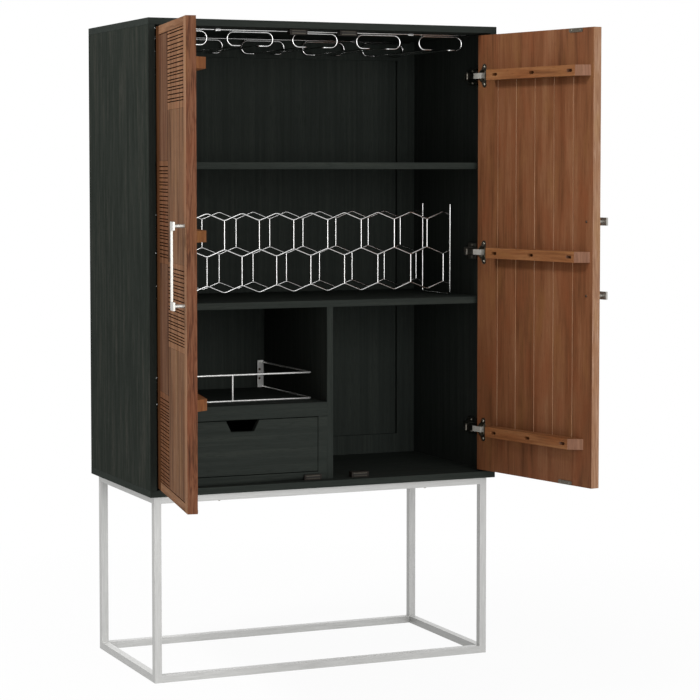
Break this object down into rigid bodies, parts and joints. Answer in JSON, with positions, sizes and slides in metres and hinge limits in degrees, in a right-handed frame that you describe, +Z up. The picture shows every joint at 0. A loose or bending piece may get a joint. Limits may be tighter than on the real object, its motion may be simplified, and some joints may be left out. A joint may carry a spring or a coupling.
{
  "type": "bar armoire",
  "caption": "Tall black bar cabinet on a slim metal base, with louvred wooden doors, hanging stemware rack, honeycomb bottle rack, railed tray shelf and a small drawer.",
  "frame": {"origin": "on the floor under the middle of the base's front rail", "axes": "+X to the right seen from the front, +Y to the back, +Z up"},
  "size_m": [1.1901, 0.9775, 1.73],
  "materials": {
    "black_oak": "black stained open-grain wood, satin lacquer",
    "walnut": "walnut-stained wood, satin lacquer",
    "satin_steel": "satin brushed steel tube",
    "chrome_wire": "polished chrome wire",
    "nickel": "nickel-plated pressed steel",
    "handle_nickel": "satin nickel",
    "zinc_screw": "zinc-plated steel",
    "brown_plastic": "dark brown moulded plastic",
    "magnet_steel": "dark magnet with steel poles"
  },
  "bodies": {
    "case": {"back_frame": "black_oak", "back_panel": "black_oak", "base_bottom_rails": "satin_steel", "base_legs": "satin_steel", "base_screws": "zinc_screw", "base_top_rails": "satin_steel", "bottle_rack_end_frames": "chrome_wire", "bottle_rack_front_lattice": "chrome_wire", "bottle_rack_rear_lattice": "chrome_wire", "bottom_panel": "black_oak", "catch_housings": "brown_plastic", "cubby_shelf": "black_oak", "drawer_face_frame": "black_oak", "drawer_runners": "black_oak", "hinge_arms": "nickel", "hinge_mount_plates": "nickel", "hinge_mount_screws": "zinc_screw", "hinge_pins": "nickel", "left_side_panel": "black_oak", "lower_divider": "black_oak", "middle_shelf": "black_oak", "right_side_panel": "black_oak", "stemware_clips": "chrome_wire", "stemware_cross_wires": "chrome_wire", "stemware_lanes": "chrome_wire", "top_panel": "black_oak", "tray_rail": "chrome_wire", "tray_rail_plates": "chrome_wire", "tray_rail_screws": "zinc_screw", "upper_shelf": "black_oak"},
    "left_door": {"left_door_panel": "walnut", "left_door_boards": "walnut", "left_door_louvres": "walnut", "left_door_battens": "walnut", "left_door_screws": "zinc_screw", "left_door_hinge_cups": "nickel", "left_door_handle": "handle_nickel", "left_door_handle_posts": "handle_nickel", "left_door_handle_screws": "zinc_screw", "left_door_strike_plates": "nickel"},
    "right_door": {"right_door_panel": "walnut", "right_door_boards": "walnut", "right_door_louvres": "walnut", "right_door_battens": "walnut", "right_door_screws": "zinc_screw", "right_door_hinge_cups": "nickel", "right_door_handle": "handle_nickel", "right_door_handle_posts": "handle_nickel", "right_door_handle_screws": "zinc_screw", "right_door_strike_plates": "nickel"},
    "left_hinge_link_set": {"left_hinge_links": "nickel"},
    "right_hinge_link_set": {"right_hinge_links": "nickel"},
    "drawer": {"drawer_front": "black_oak", "drawer_sides": "black_oak", "drawer_back": "black_oak", "drawer_bottom": "black_oak"},
    "left_lower_magnet_body": {"left_lower_magnet": "magnet_steel"},
    "left_upper_magnet_body": {"left_upper_magnet": "magnet_steel"},
    "right_lower_magnet_body": {"right_lower_magnet": "magnet_steel"},
    "right_upper_magnet_body": {"right_upper_magnet": "magnet_steel"}
  },
  "joints": [
    {"name": "left_door_hinge", "type": "hinge", "parent": "case", "child": "left_door", "pos_m": [-0.47, -0.023, 1.111], "axis": [0, 0, -1], "range_deg": [-100, 0]},
    {"name": "right_door_hinge", "type": "hinge", "parent": "case", "child": "right_door", "pos_m": [0.47, -0.023, 1.111], "axis": [0, 0, 1], "range_deg": [-101.5, 0]},
    {"name": "left_link_pivot", "type": "hinge", "parent": "case", "child": "left_hinge_link_set", "pos_m": [-0.44, 0.028, 1.111], "axis": [0, 0, -1], "range_deg": [-110, 0]},
    {"name": "right_link_pivot", "type": "hinge", "parent": "case", "child": "right_hinge_link_set", "pos_m": [0.44, 0.028, 1.111], "axis": [0, 0, 1], "range_deg": [-111.65, 0]},
    {"name": "drawer_slide", "type": "slide", "parent": "case", "child": "drawer", "axis": [0, -1, 0], "range_m": [0, 0.3]},
    {"name": "left_lower_catch_float", "type": "slide", "parent": "case", "child": "left_lower_magnet_body", "axis": [0, 1, 0], "range_m": [-0.0015, 0]},
    {"name": "left_upper_catch_float", "type": "slide", "parent": "case", "child": "left_upper_magnet_body", "axis": [0, 1, 0], "range_m": [-0.0015, 0]},
    {"name": "right_lower_catch_float", "type": "slide", "parent": "case", "child": "right_lower_magnet_body", "axis": [0, 1, 0], "range_m": [-0.0015, 0]},
    {"name": "right_upper_catch_float", "type": "slide", "parent": "case", "child": "right_upper_magnet_body", "axis": [0, 1, 0], "range_m": [-0.0015, 0]}
  ],
  "couplings": [
    {"joint": "left_link_pivot", "follows": "left_door_hinge", "ratio": 1.1},
    {"joint": "right_link_pivot", "follows": "right_door_hinge", "ratio": 1.1}
  ]
}
